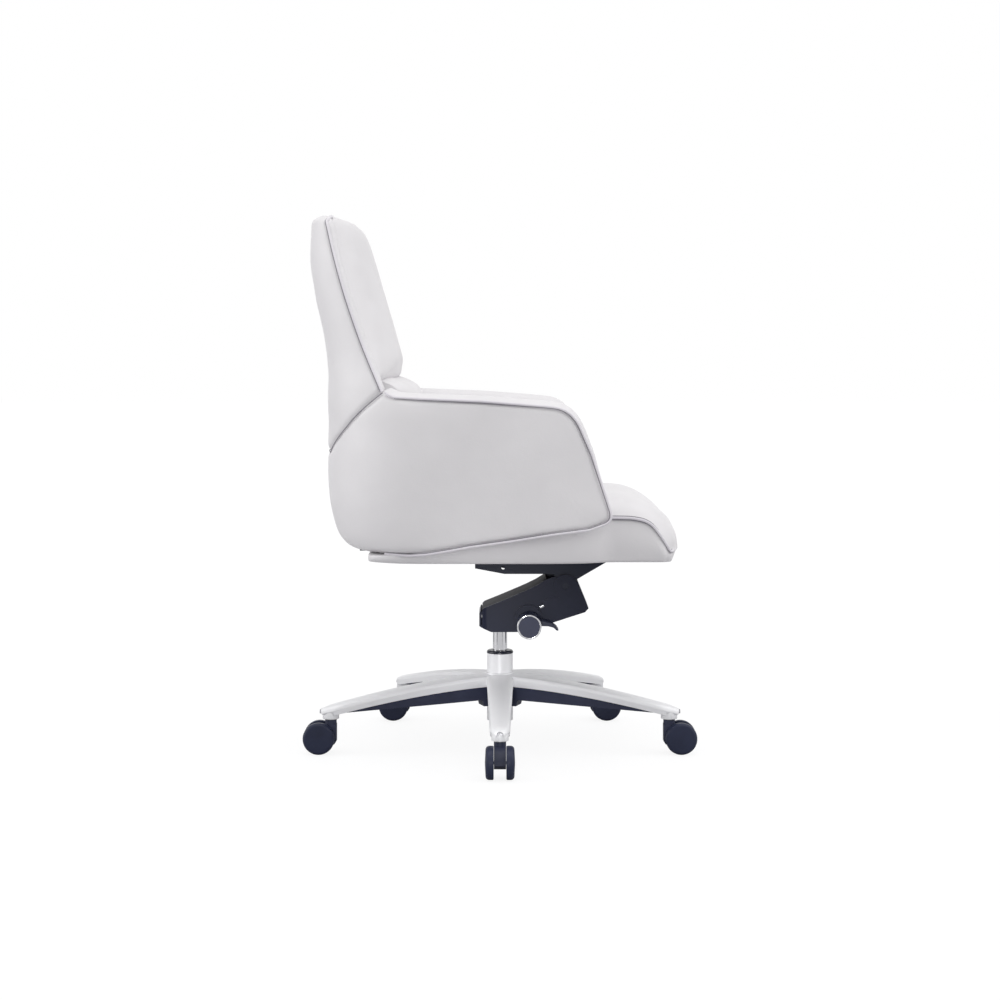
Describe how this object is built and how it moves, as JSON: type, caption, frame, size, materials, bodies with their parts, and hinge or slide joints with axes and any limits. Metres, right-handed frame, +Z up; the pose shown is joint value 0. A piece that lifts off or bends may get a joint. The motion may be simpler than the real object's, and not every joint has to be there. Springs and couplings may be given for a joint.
{
  "type": "swivel office chair",
  "caption": "Low-back swivel office chair with a padded leather seat and back, wrap-around arms, gas lift, tilt mechanism and a five-legged metal base on twin-wheel casters",
  "frame": {"origin": "the column's axis at floor level", "axes": "+Z up, the sitter faces -Y, the sitter's right is -X"},
  "size_m": [0.7015, 0.746, 1.015],
  "materials": {
    "polished_aluminium": "polished, bright",
    "silver_paint": "silver powder coat",
    "chrome_plate": "mirror plate",
    "machined_steel": "turned and ground",
    "zinc_steel": "zinc plated",
    "black_nylon": "fine moulded grain",
    "black_powder_coat": "fine powder coat",
    "white_leather": "smooth, fine pebbled grain",
    "beech_plywood": "moulded veneer, unfinished"
  },
  "bodies": {
    "base": {"base_star": "polished_aluminium", "base_keels": "black_nylon", "socket_sleeves": "zinc_steel", "column_tube": "silver_paint", "guide_bush": "black_nylon", "thrust_bearing": "machined_steel"},
    "rod": {"piston_rod": "machined_steel", "retaining_clip": "zinc_steel"},
    "mechanism": {"pressure_tube": "chrome_plate", "mech_housing": "black_powder_coat", "housing_cover": "black_nylon", "pivot_pin": "black_powder_coat", "tension_spring": "machined_steel", "taper_socket": "zinc_steel", "tilt_lock_bar": "machined_steel"},
    "seat": {"seat_plate": "black_powder_coat", "seat_board": "beech_plywood", "seat_base_pad": "white_leather", "seat_cushion": "white_leather", "arm_right": "white_leather", "arm_left": "white_leather", "arm_panels": "beech_plywood", "back_wrap": "white_leather", "back_shell": "white_leather", "back_board": "beech_plywood", "back_cushion": "white_leather", "lumbar_cushion": "white_leather", "frame_brackets": "zinc_steel", "frame_bolts": "zinc_steel"},
    "knob": {"tension_spindle": "machined_steel", "tension_knob": "black_nylon", "knob_ring": "chrome_plate"},
    "lever": {"lever_paddle": "black_nylon", "release_rocker": "zinc_steel"},
    "pin": {"release_pin": "machined_steel"},
    "caster_1": {"caster_stem_1": "machined_steel", "caster_yoke_1": "black_nylon", "caster_axle_1": "machined_steel"},
    "wheel_a_1_body": {"wheel_a_1": "black_nylon"},
    "wheel_b_1_body": {"wheel_b_1": "black_nylon"},
    "caster_2": {"caster_stem_2": "machined_steel", "caster_yoke_2": "black_nylon", "caster_axle_2": "machined_steel"},
    "wheel_a_2_body": {"wheel_a_2": "black_nylon"},
    "wheel_b_2_body": {"wheel_b_2": "black_nylon"},
    "caster_3": {"caster_stem_3": "machined_steel", "caster_yoke_3": "black_nylon", "caster_axle_3": "machined_steel"},
    "wheel_a_3_body": {"wheel_a_3": "black_nylon"},
    "wheel_b_3_body": {"wheel_b_3": "black_nylon"},
    "caster_4": {"caster_stem_4": "machined_steel", "caster_yoke_4": "black_nylon", "caster_axle_4": "machined_steel"},
    "wheel_a_4_body": {"wheel_a_4": "black_nylon"},
    "wheel_b_4_body": {"wheel_b_4": "black_nylon"},
    "caster_5": {"caster_stem_5": "machined_steel", "caster_yoke_5": "black_nylon", "caster_axle_5": "machined_steel"},
    "wheel_a_5_body": {"wheel_a_5": "black_nylon"},
    "wheel_b_5_body": {"wheel_b_5": "black_nylon"}
  },
  "joints": [
    {"name": "swivel", "type": "hinge", "parent": "base", "child": "rod", "pos_m": [0, 0, 0.05], "axis": [0, 0, 1], "continuous": true},
    {"name": "lift", "type": "slide", "parent": "rod", "child": "mechanism", "axis": [0, 0, 1], "range_m": [0, 0.07]},
    {"name": "tilt", "type": "hinge", "parent": "mechanism", "child": "seat", "pos_m": [0, -0.126, 0.3127], "axis": [-1, 0, 0], "range_deg": [0, 12], "stiffness_Nm_per_rad": 250, "springref_deg": -17.19},
    {"name": "tension", "type": "hinge", "parent": "mechanism", "child": "knob", "pos_m": [-0.13, -0.055, 0.2445], "axis": [-1, 0, 0], "range_deg": [-1080, 1080]},
    {"name": "lever", "type": "hinge", "parent": "mechanism", "child": "lever", "pos_m": [-0.1, -0.055, 0.2445], "axis": [-1, 0, 0], "range_deg": [0, 6], "stiffness_Nm_per_rad": 3, "springref_deg": -11.46},
    {"name": "release", "type": "slide", "parent": "mechanism", "child": "pin", "axis": [0, 0, -1], "range_m": [0, 0.007]},
    {"name": "caster_swivel_1", "type": "hinge", "parent": "base", "child": "caster_1", "pos_m": [-0.3375, 0, 0.07], "axis": [0, 0, 1], "continuous": true},
    {"name": "wheel_spin_a_1", "type": "hinge", "parent": "caster_1", "child": "wheel_a_1_body", "pos_m": [-0.3595, 0, 0.03], "axis": [0, -1, 0], "continuous": true},
    {"name": "wheel_spin_b_1", "type": "hinge", "parent": "caster_1", "child": "wheel_b_1_body", "pos_m": [-0.3595, 0, 0.03], "axis": [0, -1, 0], "continuous": true},
    {"name": "caster_swivel_2", "type": "hinge", "parent": "base", "child": "caster_2", "pos_m": [-0.10429, -0.32098, 0.07], "axis": [0, 0, 1], "continuous": true},
    {"name": "wheel_spin_a_2", "type": "hinge", "parent": "caster_2", "child": "wheel_a_2_body", "pos_m": [-0.10429, -0.34298, 0.03], "axis": [1, 0, 0], "continuous": true},
    {"name": "wheel_spin_b_2", "type": "hinge", "parent": "caster_2", "child": "wheel_b_2_body", "pos_m": [-0.10429, -0.34298, 0.03], "axis": [1, 0, 0], "continuous": true},
    {"name": "caster_swivel_3", "type": "hinge", "parent": "base", "child": "caster_3", "pos_m": [0.27304, -0.19838, 0.07], "axis": [0, 0, 1], "continuous": true},
    {"name": "wheel_spin_a_3", "type": "hinge", "parent": "caster_3", "child": "wheel_a_3_body", "pos_m": [0.27304, -0.22038, 0.03], "axis": [1, 0, 0], "continuous": true},
    {"name": "wheel_spin_b_3", "type": "hinge", "parent": "caster_3", "child": "wheel_b_3_body", "pos_m": [0.27304, -0.22038, 0.03], "axis": [1, 0, 0], "continuous": true},
    {"name": "caster_swivel_4", "type": "hinge", "parent": "base", "child": "caster_4", "pos_m": [0.27304, 0.19838, 0.07], "axis": [0, 0, 1], "continuous": true},
    {"name": "wheel_spin_a_4", "type": "hinge", "parent": "caster_4", "child": "wheel_a_4_body", "pos_m": [0.27304, 0.22038, 0.03], "axis": [-1, 0, 0], "continuous": true},
    {"name": "wheel_spin_b_4", "type": "hinge", "parent": "caster_4", "child": "wheel_b_4_body", "pos_m": [0.27304, 0.22038, 0.03], "axis": [-1, 0, 0], "continuous": true},
    {"name": "caster_swivel_5", "type": "hinge", "parent": "base", "child": "caster_5", "pos_m": [-0.10429, 0.32098, 0.07], "axis": [0, 0, 1], "continuous": true},
    {"name": "wheel_spin_a_5", "type": "hinge", "parent": "caster_5", "child": "wheel_a_5_body", "pos_m": [-0.10429, 0.34298, 0.03], "axis": [-1, 0, 0], "continuous": true},
    {"name": "wheel_spin_b_5", "type": "hinge", "parent": "caster_5", "child": "wheel_b_5_body", "pos_m": [-0.10429, 0.34298, 0.03], "axis": [-1, 0, 0], "continuous": true}
  ],
  "couplings": [
    {"joint": "release", "follows": "lever", "m_per_rad": 0.06}
  ]
}
